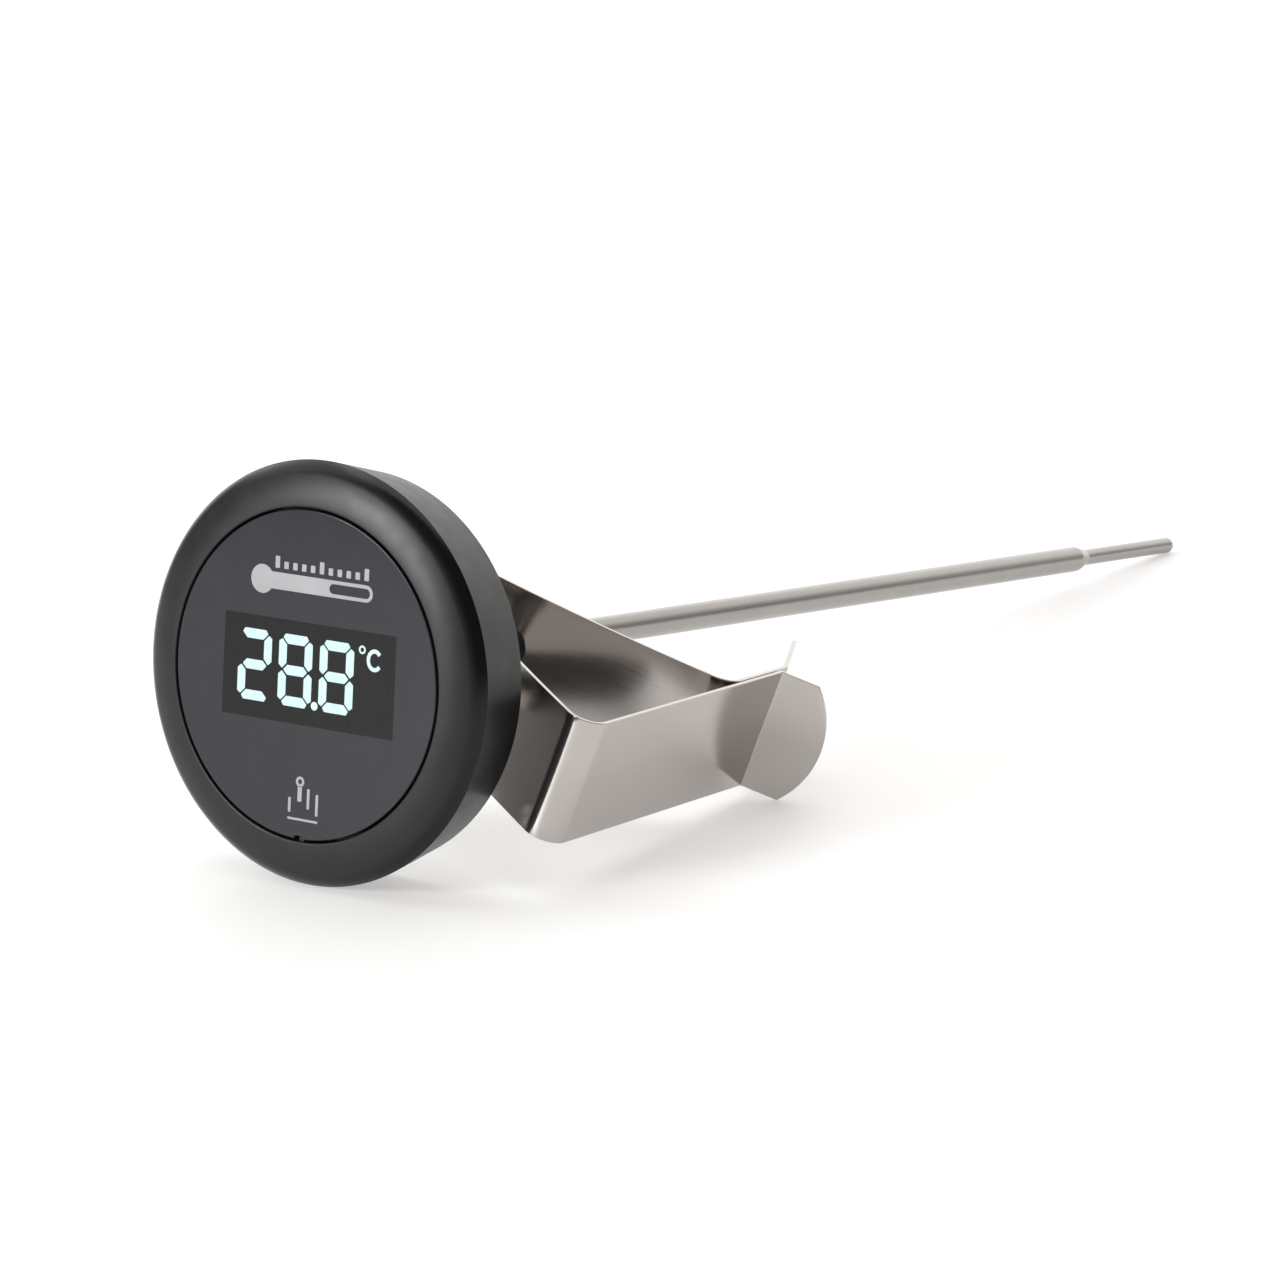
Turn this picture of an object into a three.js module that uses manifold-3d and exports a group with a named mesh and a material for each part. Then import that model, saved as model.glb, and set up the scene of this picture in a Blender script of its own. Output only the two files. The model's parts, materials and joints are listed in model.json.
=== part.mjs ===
// A dial thermometer for milk and coffee: a round touch-display head on a thin steel stem,
// with a bent steel strip that slides on the stem and clips over the wall of a jug.
// Millimetres, +Z up. It lies on a table on the head's rim, the stem's tip and the clip's lip.

import * as THREE from 'three';
import { mergeVertices } from 'three/addons/utils/BufferGeometryUtils.js';
import Module from 'manifold-3d';

// ---------------------------------------------------------------- driving dimensions

// Head. Depths are measured from the dial's front face towards the tip of the stem.
const HEAD_RADIUS = 25;
const HEAD_DEPTH = 11;
const WIDEST_DEPTH = 2.3;
const REAR_RADIUS = 23.3;
const FACE_RADIUS = 19.3;
const FACE_THICKNESS = 1.5;
const SEAT_GAP = 0.3;
const SHOULDER_RADIUS = 23.6;
const SHOULDER_DEPTH = 0.9;
const SHOULDER_SLOPES = [24, 56];
const EDGE_BREAK = 0.3;
const KEY_WIDTH = 1.0;
const KEY_REACH = 0.7;

// Space inside the head
const LEDGE_RADIUS = 17.6;
const LEDGE_DEPTH = 2.3;
const CAVITY_RADIUS = 20.9;
const BOARD_RADIUS = 20.4;
const BOARD_FRONT = 4.6;
const BOARD_BACK = 5.4;
const COVER_RADIUS = 22;
const COVER_FRONT = 9.4;
const BOSS_CIRCLE = 18.9;
const BOSS_RADIUS = 2.2;
const SCREW_ANGLES = [35, 145, 235, 305];
const SCREW_HEAD_RADIUS = 1.5;
const SCREW_SHANK_RADIUS = 0.7;

// Display and touch key, in the plane of the dial
const DISPLAY_CENTRE = [0.4, 0.3];
const DISPLAY_SIZE = [26.6, 13.4];
const TOUCH_HEIGHT = -14.4;
const TOUCH_RADIUS = 2.5;

// Coin cell and its cap
const CELL_RADIUS = 8;
const CELL_THICKNESS = 3.2;
const CELL_FRONT = 6;
const CELL_OFFSET = 12.5;
const CAP_RADIUS = 8.4;
const CAP_SPIGOT_RADIUS = 7.9;
const CAP_FLANGE_FRONT = 10.4;
const CONTACT_WIDTH = 3;

// Stem
const STEM_RADIUS = 1.75;
const STEM_BORE = 1.3;
const STEM_START = 5.9;
const STEM_STEP = 172.5;
const TIP_START = 175;
const TIP_RADIUS = 1.1;
const TIP_BORE = 0.8;
const TIP_END = 199.5;
const COLLAR_RADIUS = 3.4;
const COLLAR_NECK = 2.55;
const COLLAR_END = 15;
const LEAD_RADIUS = 0.2;
const LEAD_SPACING = 0.45;

// Clip. Its corners are [distance behind the dial, distance out from the stem's axis].
const STRIP_THICKNESS = 0.5;
const STRIP_WIDTH = 15.75;
const HEEL_CORNER = [12.1, 31.0];
const SPRING_CORNER = [33.95, -17.3];
const DIAGONAL_POINT = [45.7, 24.3];
const LEG_END = [58.5, 26.3];
const LIP_CHORD = [60.5, 30.8];
const INNER_LIP_CHORD = [69.4, 20.3];
const JAW_OVERHANG = 2.2;
const HEEL_BEND = 2.2;
const SPRING_BEND = 3.5;
const JAW_BEND = 3;
const LIP_BEND = 1;
const LIP_ROUND = 11.7;
const JAW_GAP = 0.3;
const PANEL_HOLE_RADIUS = 2.2;
const BUSH_RADIUS = 3.4;
const BUSH_HUB_RADIUS = 2.35;
const BUSH_HUB_REACH = 1.3;
const BUSH_FLANGE_START = 1.6;
const BUSH_END = 2.4;
const BUSH_CLEARANCE = 0.12;

// Faceting
const HEAD_SEGMENTS = 48;
const SMALL_SEGMENTS = 24;
const BEND_STEP = THREE.MathUtils.degToRad(15);

// ---------------------------------------------------------------- solids

const wasm = await Module();
wasm.setup();

// The geometry with its vertices merged, collapsed triangles dropped and its faces turned outwards.
function closed(geometry) {
  const bare = new THREE.BufferGeometry();
  bare.setAttribute('position', geometry.getAttribute('position'));
  bare.setIndex(geometry.index);
  const merged = mergeVertices(bare);
  const source = merged.index.array;
  const corners = [];
  for (let i = 0; i < source.length; i += 3) {
    const [a, b, c] = [source[i], source[i + 1], source[i + 2]];
    if (a !== b && b !== c && a !== c) {
      corners.push(a, b, c);
    }
  }
  merged.setIndex(corners);
  if (volume(merged) < 0) {
    corners.reverse();
    merged.setIndex(corners);
  }
  return merged;
}

function volume(geometry) {
  const position = geometry.getAttribute('position');
  const index = geometry.index.array;
  const [a, b, c] = [new THREE.Vector3(), new THREE.Vector3(), new THREE.Vector3()];
  let sum = 0;
  for (let i = 0; i < index.length; i += 3) {
    a.fromBufferAttribute(position, index[i]);
    b.fromBufferAttribute(position, index[i + 1]);
    c.fromBufferAttribute(position, index[i + 2]);
    sum += a.dot(b.cross(c)) / 6;
  }
  return sum;
}

function manifold(geometry) {
  return new wasm.Manifold(new wasm.Mesh({
    numProp: 3,
    vertProperties: new Float32Array(geometry.getAttribute('position').array),
    triVerts: new Uint32Array(geometry.index.array),
  }));
}

function geometryOf(solid) {
  const mesh = solid.getMesh();
  const geometry = new THREE.BufferGeometry();
  geometry.setAttribute('position', new THREE.BufferAttribute(mesh.vertProperties, 3));
  geometry.setIndex(new THREE.BufferAttribute(mesh.triVerts, 1));
  return closed(geometry);
}

function join(base, ...others) {
  return geometryOf(others.reduce((sum, other) => sum.add(manifold(other)), manifold(base)));
}

function cut(base, ...tools) {
  return geometryOf(tools.reduce((rest, tool) => rest.subtract(manifold(tool)), manifold(base)));
}

function common(base, other) {
  return geometryOf(manifold(base).intersect(manifold(other)));
}

// A solid of revolution about the stem's axis. Each point of its profile is [radius, depth].
function turned(profile, segments = HEAD_SEGMENTS) {
  const points = [...profile, profile[0]].map(([radius, depth]) => new THREE.Vector2(radius, -depth));
  return closed(new THREE.LatheGeometry(points, segments).rotateX(Math.PI / 2));
}

function disc(radius, front, back, segments = HEAD_SEGMENTS) {
  return turned([[0, front], [radius, front], [radius, back], [0, back]], segments);
}

function ring(inner, outer, front, back, segments = HEAD_SEGMENTS) {
  return turned([[inner, front], [outer, front], [outer, back], [inner, back]], segments);
}

function block(width, height, front, back) {
  return closed(new THREE.BoxGeometry(width, height, back - front).translate(0, 0, -(front + back) / 2));
}

function torus(radius, tube, depth) {
  const [aroundTube, aroundRing] = [6, 24];
  return closed(new THREE.TorusGeometry(radius, tube, aroundTube, aroundRing).translate(0, 0, -depth));
}

function moved(geometry, x, y) {
  return geometry.translate(x, y, 0);
}

// Where the line from a along u meets the line from b along v.
function crossing(a, u, b, v) {
  const along = b.clone().sub(a).cross(v) / u.cross(v);
  return a.clone().addScaledVector(u, along);
}

function onCircle(radius, degrees) {
  const angle = THREE.MathUtils.degToRad(degrees);
  return [radius * Math.cos(angle), radius * Math.sin(angle)];
}

// ---------------------------------------------------------------- materials

function finish(color, roughness, metalness = 0) {
  return () => new THREE.MeshStandardMaterial({ color, roughness, metalness });
}

const blackPlastic = finish(0x2a2a2c, 0.42);
const smokedAcrylic = finish(0x26262b, 0.12);
const whitePlastic = finish(0xd8dcd8, 0.5);
const boardGreen = finish(0x1d4a32, 0.55);
const chipBlack = finish(0x161616, 0.5);
const rubber = finish(0x18181a, 0.8);
const adhesive = finish(0x101012, 0.9);
const gold = finish(0xc9a24a, 0.3, 1);
const polishedSteel = finish(0xb5ada3, 0.14, 1);
const brushedSteel = finish(0xa9a6a0, 0.3, 1);
const cellSteel = finish(0xc4c4c4, 0.25, 1);
const leadInsulation = finish(0xb02a22, 0.6);
const epoxy = finish(0x20242c, 0.35);

function add(group, name, geometry, material, position = [0, 0, 0]) {
  const mesh = new THREE.Mesh(geometry, material());
  mesh.name = name;
  mesh.position.set(...position);
  group.add(mesh);
}

// ---------------------------------------------------------------- head

// The front of the ring: slightly domed from its mouth to the shoulder, then rounded over more
// steeply to the widest edge.
function ringFront() {
  const mouth = new THREE.Vector2(FACE_RADIUS + SEAT_GAP + EDGE_BREAK, 0);
  const shoulder = new THREE.Vector2(SHOULDER_RADIUS, SHOULDER_DEPTH);
  const edge = new THREE.Vector2(HEAD_RADIUS, WIDEST_DEPTH);
  const [from, to] = SHOULDER_SLOPES.map(THREE.MathUtils.degToRad);
  const dome = new THREE.Vector2((mouth.x + shoulder.x) / 2, SHOULDER_DEPTH * 0.32);
  const corner = crossing(shoulder, slope(from), edge, slope(to));
  const rounding = new THREE.QuadraticBezierCurve(shoulder, corner, edge);
  return [mouth, dome, ...rounding.getPoints(4)].map((point) => [point.x, point.y]);
}

function slope(angle) {
  return new THREE.Vector2(Math.cos(angle), Math.sin(angle));
}

function bezelHousing() {
  const mouth = FACE_RADIUS + SEAT_GAP;
  const shell = turned([
    [LEDGE_RADIUS, LEDGE_DEPTH],
    [mouth, LEDGE_DEPTH],
    [mouth, EDGE_BREAK],
    ...ringFront(),
    [REAR_RADIUS, HEAD_DEPTH - EDGE_BREAK],
    [REAR_RADIUS - EDGE_BREAK, HEAD_DEPTH],
    [COVER_RADIUS + SEAT_GAP, HEAD_DEPTH],
    [COVER_RADIUS + SEAT_GAP, COVER_FRONT - SEAT_GAP],
    [CAVITY_RADIUS, COVER_FRONT - SEAT_GAP],
    [CAVITY_RADIUS, BOARD_FRONT - SEAT_GAP],
    [LEDGE_RADIUS + 2, BOARD_FRONT - SEAT_GAP],
    [LEDGE_RADIUS, LEDGE_DEPTH + 1.2],
  ]);
  const key = block(KEY_WIDTH, 2 * KEY_REACH, EDGE_BREAK, LEDGE_DEPTH + 0.5);
  const bosses = SCREW_ANGLES.map((degrees) => (
    moved(disc(BOSS_RADIUS, BOARD_FRONT - 1, COVER_FRONT - 2 * SEAT_GAP, SMALL_SEGMENTS),
      ...onCircle(BOSS_CIRCLE, degrees))
  ));
  const pilots = SCREW_ANGLES.map((degrees) => (
    moved(disc(SCREW_SHANK_RADIUS + 0.15, BOARD_BACK, HEAD_DEPTH, 12), ...onCircle(BOSS_CIRCLE, degrees))
  ));
  return cut(join(shell, moved(key, 0, -mouth), ...bosses), ...pilots);
}

function facePlate() {
  const plate = turned([
    [0, 0],
    [FACE_RADIUS - 0.15, 0],
    [FACE_RADIUS, 0.15],
    [FACE_RADIUS, FACE_THICKNESS],
    [0, FACE_THICKNESS],
  ]);
  const notch = block(KEY_WIDTH + 2 * SEAT_GAP, 2 * KEY_REACH + SEAT_GAP, -1, FACE_THICKNESS + 1);
  return cut(plate, moved(notch, 0, -FACE_RADIUS));
}

function circuitBoard() {
  const notches = SCREW_ANGLES.map((degrees) => (
    moved(disc(BOSS_RADIUS + SEAT_GAP, BOARD_FRONT - 1, BOARD_BACK + 1, SMALL_SEGMENTS),
      ...onCircle(BOSS_CIRCLE, degrees))
  ));
  return cut(disc(BOARD_RADIUS, BOARD_FRONT, BOARD_BACK), ...notches);
}

// An open wall round the coin cell, cut back where the head's side wall takes over,
// with a window under a bridge on its left for the positive contact.
function cellHolder() {
  const [front, back, bridge] = [BOARD_BACK + SEAT_GAP, CELL_FRONT + 1.9, 0.6];
  const wall = moved(ring(CELL_RADIUS + SEAT_GAP, CELL_RADIUS + 1, front, back), 0, CELL_OFFSET);
  const inside = disc(CAVITY_RADIUS - SEAT_GAP, front - 1, back + 1);
  const window = moved(block(4, 4, front - 1, back - bridge), -CELL_RADIUS, CELL_OFFSET);
  return cut(common(wall, inside), window);
}

// A bent tab that stands in the holder's window against the side of the cell.
function positiveContact() {
  const [foil, height, foot] = [0.3, 1.2, 1.5];
  const outline = new THREE.Shape([
    [0, 0], [0, height], [-foil, height], [-foil, foil], [-foot, foil], [-foot, 0],
  ].map(([x, y]) => new THREE.Vector2(x, y)));
  const tab = new THREE.ExtrudeGeometry(outline, { depth: CONTACT_WIDTH, bevelEnabled: false });
  return closed(tab.rotateX(-Math.PI / 2));
}

function negativeContact() {
  const plate = block(7, CONTACT_WIDTH, BOARD_BACK + 0.1, CELL_FRONT - 0.2);
  const slit = block(4, 1.2, BOARD_BACK - 1, CELL_FRONT);
  return cut(plate, slit);
}

function rearCover() {
  const plate = turned([
    [COLLAR_NECK + SEAT_GAP, COVER_FRONT],
    [COVER_RADIUS, COVER_FRONT],
    [COVER_RADIUS, HEAD_DEPTH - 0.2],
    [COVER_RADIUS - 0.2, HEAD_DEPTH],
    [COLLAR_NECK + SEAT_GAP, HEAD_DEPTH],
  ]);
  const mouth = disc(CELL_RADIUS + 0.2, COVER_FRONT - 1, HEAD_DEPTH);
  const step = disc(CAP_RADIUS + SEAT_GAP, CAP_FLANGE_FRONT - 0.4, HEAD_DEPTH + 1);
  const holes = SCREW_ANGLES.map((degrees) => (
    moved(screwSeat(), ...onCircle(BOSS_CIRCLE, degrees))
  ));
  return cut(plate, moved(mouth, 0, CELL_OFFSET), moved(step, 0, CELL_OFFSET), ...holes);
}

function screwSeat() {
  const shank = SCREW_SHANK_RADIUS + 0.3;
  const head = SCREW_HEAD_RADIUS + 0.3;
  return turned([
    [0, COVER_FRONT - 1],
    [shank, COVER_FRONT - 1],
    [shank, HEAD_DEPTH - 0.9],
    [head, HEAD_DEPTH - 0.3],
    [head, HEAD_DEPTH + 1],
    [0, HEAD_DEPTH + 1],
  ], 16);
}

function coverScrew() {
  const top = HEAD_DEPTH - 0.1;
  const body = turned([
    [0, BOARD_BACK + 0.6],
    [SCREW_SHANK_RADIUS, BOARD_BACK + 1.2],
    [SCREW_SHANK_RADIUS, top - 0.8],
    [SCREW_HEAD_RADIUS, top - 0.2],
    [SCREW_HEAD_RADIUS, top],
    [0, top],
  ], 16);
  const [slotLength, slotWidth, slotDepth] = [1.7, 0.4, 0.5];
  return cut(
    body,
    block(slotLength, slotWidth, top - slotDepth, top + 1),
    block(slotWidth, slotLength, top - slotDepth, top + 1),
  );
}

function batteryCap() {
  const body = turned([
    [0, COVER_FRONT + 0.1],
    [CAP_SPIGOT_RADIUS, COVER_FRONT + 0.1],
    [CAP_SPIGOT_RADIUS, CAP_FLANGE_FRONT],
    [CAP_RADIUS, CAP_FLANGE_FRONT],
    [CAP_RADIUS, HEAD_DEPTH - 0.15],
    [CAP_RADIUS - 0.15, HEAD_DEPTH],
    [0, HEAD_DEPTH],
  ]);
  return cut(body, block(10, 1.6, HEAD_DEPTH - 0.8, HEAD_DEPTH + 1));
}

function buildHead(group) {
  add(group, 'bezel_housing', bezelHousing(), blackPlastic);
  add(group, 'face_plate', facePlate(), smokedAcrylic);
  add(group, 'face_adhesive_ring',
    ring(LEDGE_RADIUS + 0.2, FACE_RADIUS - KEY_REACH, FACE_THICKNESS + 0.2, LEDGE_DEPTH - 0.2), adhesive);
  add(group, 'led_display', block(...DISPLAY_SIZE, FACE_THICKNESS + SEAT_GAP, BOARD_FRONT - SEAT_GAP),
    whitePlastic, [...DISPLAY_CENTRE, 0]);
  add(group, 'touch_pad',
    disc(TOUCH_RADIUS, FACE_THICKNESS + SEAT_GAP, BOARD_FRONT - SEAT_GAP, SMALL_SEGMENTS), rubber,
    [0, TOUCH_HEIGHT, 0]);
  add(group, 'circuit_board', circuitBoard(), boardGreen);
  add(group, 'controller_chip', block(5, 5, BOARD_BACK + SEAT_GAP, BOARD_BACK + 1.4), chipBlack,
    [-8, -7, 0]);
  add(group, 'cell_holder', cellHolder(), blackPlastic);
  add(group, 'coin_cell', disc(CELL_RADIUS, CELL_FRONT, CELL_FRONT + CELL_THICKNESS), cellSteel,
    [0, CELL_OFFSET, 0]);
  add(group, 'battery_contact_negative', negativeContact(), gold, [0, CELL_OFFSET, 0]);
  add(group, 'battery_contact_positive', positiveContact(), gold,
    [-CELL_RADIUS - SEAT_GAP, CELL_OFFSET - CONTACT_WIDTH / 2, -BOARD_BACK - SEAT_GAP]);
  add(group, 'rear_cover', rearCover(), blackPlastic);
  add(group, 'cover_gasket',
    ring(CAVITY_RADIUS + 0.1, COVER_RADIUS - 0.1, COVER_FRONT - 0.2, COVER_FRONT - 0.1), rubber);
  SCREW_ANGLES.forEach((degrees, index) => {
    add(group, `cover_screw_${index + 1}`, coverScrew(), brushedSteel,
      [...onCircle(BOSS_CIRCLE, degrees), 0]);
  });
  add(group, 'battery_cap', batteryCap(), blackPlastic, [0, CELL_OFFSET, 0]);
  add(group, 'cap_o_ring', torus((CAP_SPIGOT_RADIUS + CAP_RADIUS) / 2 + 0.15, 0.15, CAP_FLANGE_FRONT - 0.2),
    rubber, [0, CELL_OFFSET, 0]);
}

// ---------------------------------------------------------------- stem

// One drawn tube with a swaged, thinner tip that is closed at its end and open inside the head.
function stemTube() {
  const nose = new THREE.EllipseCurve(0, TIP_END - TIP_RADIUS, TIP_RADIUS, TIP_RADIUS, 0, Math.PI / 2);
  return turned([
    [STEM_BORE, STEM_START],
    [STEM_RADIUS, STEM_START],
    [STEM_RADIUS, STEM_STEP],
    [TIP_RADIUS, TIP_START],
    ...nose.getPoints(4).map((point) => [Math.max(point.x, 0), point.y]),
    [0, TIP_END - 1],
    [TIP_BORE, TIP_END - 1.6],
    [TIP_BORE, TIP_START],
    [STEM_BORE, STEM_STEP],
  ], SMALL_SEGMENTS);
}

function stemCollar() {
  return turned([
    [STEM_RADIUS + 0.2, BOARD_BACK + 2],
    [COLLAR_NECK, BOARD_BACK + 2],
    [COLLAR_NECK, HEAD_DEPTH + 0.6],
    [COLLAR_RADIUS, HEAD_DEPTH + 0.6],
    [COLLAR_RADIUS, HEAD_DEPTH + 1.6],
    [COLLAR_NECK, COLLAR_END],
    [STEM_RADIUS + 0.2, COLLAR_END],
  ], SMALL_SEGMENTS);
}

function collarNut() {
  const [front, back, hexagon] = [8.2, 9.1, 6];
  const nut = disc(COLLAR_RADIUS + 0.4, front, back, hexagon);
  return cut(nut, disc(COLLAR_NECK + 0.2, front - 1, back + 1, SMALL_SEGMENTS));
}

function buildStem(group) {
  const leadEnd = TIP_END - 3.6;
  add(group, 'stem_tube', stemTube(), brushedSteel);
  add(group, 'stem_collar', stemCollar(), brushedSteel);
  add(group, 'collar_nut', collarNut(), brushedSteel);
  add(group, 'collar_seal',
    ring(COLLAR_NECK + 0.2, COLLAR_RADIUS - 0.1, HEAD_DEPTH + 0.1, HEAD_DEPTH + 0.4, SMALL_SEGMENTS), rubber);
  add(group, 'lead_sleeve', ring(0.85, 1.1, COLLAR_END, STEM_STEP - 4, 12), rubber);
  ['sensor_lead_a', 'sensor_lead_b'].forEach((name, index) => {
    const side = index === 0 ? -1 : 1;
    add(group, name, disc(LEAD_RADIUS, BOARD_BACK + 0.2, leadEnd, 6), leadInsulation,
      [side * LEAD_SPACING, 0, 0]);
  });
  add(group, 'thermistor_bead', disc(0.6, leadEnd + 0.2, leadEnd + 1.6, 12), epoxy);
}

// ---------------------------------------------------------------- clip

const vector = ([x, y]) => new THREE.Vector2(x, y);
const leftOf = (direction) => new THREE.Vector2(-direction.y, direction.x);
const towards = (from, to) => to.clone().sub(from).normalize();

// Samples along the rounded bend of the strip's middle line at a corner, each with the strip's normal.
// The shares, from 0 to 1, pick a part of the bend.
function bend(before, corner, after, radius, fromShare = 0, toShare = 1) {
  const into = towards(before, corner);
  const out = towards(corner, after);
  const turn = Math.atan2(into.cross(out), into.dot(out));
  const side = Math.sign(turn);
  const centre = corner.clone()
    .addScaledVector(into, -radius * Math.tan(Math.abs(turn) / 2))
    .addScaledVector(leftOf(into), radius * side);
  const steps = Math.max(2, Math.ceil(Math.abs(turn) * (toShare - fromShare) / BEND_STEP));
  return Array.from({ length: steps + 1 }, (_, i) => {
    const share = fromShare + (toShare - fromShare) * i / steps;
    const normal = leftOf(into).rotateAround(new THREE.Vector2(), turn * share);
    return { point: centre.clone().addScaledVector(normal, -radius * side), normal };
  });
}

function straight(point, direction) {
  return [{ point, normal: leftOf(direction) }];
}

// The strip's solid: its side outline, extruded across its width.
function strip(samples) {
  const half = STRIP_THICKNESS / 2;
  const left = samples.map(({ point, normal }) => point.clone().addScaledVector(normal, half));
  const right = samples.map(({ point, normal }) => point.clone().addScaledVector(normal, -half));
  const outline = new THREE.Shape([...left, ...right.reverse()]);
  const solid = new THREE.ExtrudeGeometry(outline, { depth: STRIP_WIDTH, bevelEnabled: false });
  return closed(solid.translate(0, 0, -STRIP_WIDTH / 2));
}

const LIP_SAGITTA = LIP_ROUND - Math.sqrt(LIP_ROUND ** 2 - (STRIP_WIDTH / 2) ** 2);

// What a lip's rounded end leaves out: a block beyond an arc, standing across the lip.
function lipCutter(chord, direction) {
  const reach = STRIP_WIDTH / 2 + 0.5;
  const sweep = Math.asin(reach / LIP_ROUND);
  const arc = new THREE.EllipseCurve(LIP_SAGITTA - LIP_ROUND, 0, LIP_ROUND, LIP_ROUND, -sweep, sweep);
  const outline = new THREE.Shape([
    ...arc.getPoints(12),
    new THREE.Vector2(LIP_SAGITTA + 1, reach),
    new THREE.Vector2(LIP_SAGITTA + 1, -reach),
  ]);
  const cutter = new THREE.ExtrudeGeometry(outline, { depth: 4, bevelEnabled: false });
  cutter.translate(0, 0, -2);
  const along = new THREE.Vector3(direction.x, direction.y, 0);
  const across = new THREE.Vector3(0, 0, 1);
  const basis = new THREE.Matrix4().makeBasis(along, across, along.clone().cross(across));
  return closed(cutter.applyMatrix4(basis.setPosition(chord.x, chord.y, 0)));
}

// A cutter along the stem's axis, in the clip's own frame, where X runs down the stem.
function stemHole(radius, from, to) {
  const length = to - from;
  const hole = new THREE.CylinderGeometry(radius, radius, length, SMALL_SEGMENTS);
  return closed(hole.rotateZ(Math.PI / 2).translate(from + length / 2, 0, 0));
}

// The corners of the strip's middle line, worked out once for both of its parts.
function clipLayout() {
  const heel = vector(HEEL_CORNER);
  const spring = vector(SPRING_CORNER);
  const legEnd = vector(LEG_END);
  const lipChord = vector(LIP_CHORD);
  const legDirection = towards(heel, legEnd);
  const diagonal = towards(spring, vector(DIAGONAL_POINT));
  const lipDirection = towards(legEnd, lipChord);
  const inset = leftOf(legDirection).multiplyScalar(-(STRIP_THICKNESS + JAW_GAP));
  const jawStart = crossing(spring, diagonal, heel.clone().add(inset), legDirection);
  const jawEnd = legEnd.clone().add(inset).addScaledVector(legDirection, JAW_OVERHANG);
  const innerChord = vector(INNER_LIP_CHORD);
  const innerLip = towards(jawEnd, innerChord);
  const axis = new THREE.Vector2(1, 0);
  const stem = new THREE.Vector2(0, 0);
  return {
    heel, spring, legEnd, lipChord, legDirection, lipDirection, jawStart, jawEnd, innerLip, innerChord,
    baseCrossing: crossing(stem, axis, spring, towards(spring, heel)).x,
    diagonalCrossing: crossing(stem, axis, spring, diagonal).x,
  };
}

const layout = clipLayout();
const HEEL_SPLIT = JAW_GAP / 2 / (HEEL_BEND * THREE.MathUtils.degToRad(120));

// Base panel, spring bend, diagonal panel, inner jaw and inner lip.
function clipStrip() {
  const { heel, spring, legEnd, jawStart, jawEnd, innerLip, innerChord } = layout;
  const end = innerChord.clone().addScaledVector(innerLip, LIP_SAGITTA);
  const solid = strip([
    ...bend(legEnd, heel, spring, HEEL_BEND, 0.5 + HEEL_SPLIT, 1),
    ...bend(heel, spring, jawStart, SPRING_BEND),
    ...bend(spring, jawStart, jawEnd, JAW_BEND),
    ...bend(jawStart, jawEnd, end, LIP_BEND),
    ...straight(end, innerLip),
  ]);
  return cut(
    solid,
    stemHole(PANEL_HOLE_RADIUS, layout.baseCrossing - 5, layout.baseCrossing + 5),
    stemHole(BUSH_HUB_RADIUS + SEAT_GAP, layout.diagonalCrossing - 4, layout.diagonalCrossing + 4),
    lipCutter(innerChord, innerLip),
  );
}

// Outer leg and outer lip. A sample part-way parts the leg's free stretch from the one over the jaw.
function clipOuterLeg() {
  const { heel, spring, legEnd, lipChord, legDirection, lipDirection, jawStart } = layout;
  const end = lipChord.clone().addScaledVector(lipDirection, LIP_SAGITTA);
  const freeEnd = heel.clone().addScaledVector(legDirection, jawStart.x - heel.x - 2 * JAW_BEND);
  const solid = strip([
    ...bend(spring, heel, legEnd, HEEL_BEND, 0.5 + HEEL_SPLIT, 1),
    ...straight(freeEnd, legDirection),
    ...bend(heel, legEnd, end, LIP_BEND),
    ...straight(end, lipDirection),
  ]);
  return cut(solid, lipCutter(lipChord, lipDirection));
}

// A flanged sleeve on the stem. The diagonal panel turns on its hub, against its flange.
function gripBush() {
  const bore = STEM_RADIUS + BUSH_CLEARANCE;
  const middle = layout.diagonalCrossing;
  return turned([
    [bore, middle - BUSH_HUB_REACH],
    [BUSH_HUB_RADIUS, middle - BUSH_HUB_REACH],
    [BUSH_HUB_RADIUS, middle + BUSH_FLANGE_START],
    [BUSH_RADIUS, middle + BUSH_FLANGE_START],
    [BUSH_RADIUS, middle + BUSH_END],
    [bore, middle + BUSH_END],
  ], SMALL_SEGMENTS);
}

// How far the table is below the stem's axis at a depth: a straight line from the rim to the tip.
function tableBelow(depth) {
  const slope = (HEAD_RADIUS - TIP_RADIUS) / (TIP_END - TIP_RADIUS - WIDEST_DEPTH);
  return HEAD_RADIUS - slope * (depth - WIDEST_DEPTH);
}

// The clip's turn about the stem that lays the lower corner of its outer lip on the table.
function clipTurn() {
  const { lipChord } = layout;
  const corner = Math.hypot(lipChord.y, STRIP_WIDTH / 2);
  return Math.asin(tableBelow(lipChord.x) / corner) - Math.atan2(STRIP_WIDTH / 2, lipChord.y);
}

function buildClip(group) {
  const turn = clipTurn();
  const downStem = new THREE.Vector3(0, 0, -1);
  const outwards = new THREE.Vector3(Math.cos(turn), -Math.sin(turn), 0);
  const clip = new THREE.Group();
  clip.quaternion.setFromRotationMatrix(
    new THREE.Matrix4().makeBasis(downStem, outwards, downStem.clone().cross(outwards)),
  );
  add(clip, 'clip_strip', clipStrip(), polishedSteel);
  add(clip, 'clip_outer_leg', clipOuterLeg(), polishedSteel);
  group.add(clip);
  add(group, 'stem_grip_bush', gripBush(), rubber);
}

// ---------------------------------------------------------------- the whole thermometer

const thermometer = new THREE.Group();
const upright = new THREE.Group();
buildHead(upright);
buildStem(upright);
buildClip(upright);

// Laid down on the table: the dial faces -Y and the stem runs along +Y, down to its tip.
const tilt = Math.atan2(HEAD_RADIUS - TIP_RADIUS, TIP_END - TIP_RADIUS - WIDEST_DEPTH);
upright.rotation.x = Math.PI / 2 - tilt;
thermometer.add(upright);
thermometer.updateMatrixWorld(true);

// The origin is at the middle of the bounding box's underside.
const box = new THREE.Box3().setFromObject(thermometer, true);
const middle = box.getCenter(new THREE.Vector3());
upright.position.set(-middle.x, -middle.y, -box.min.z);

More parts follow.
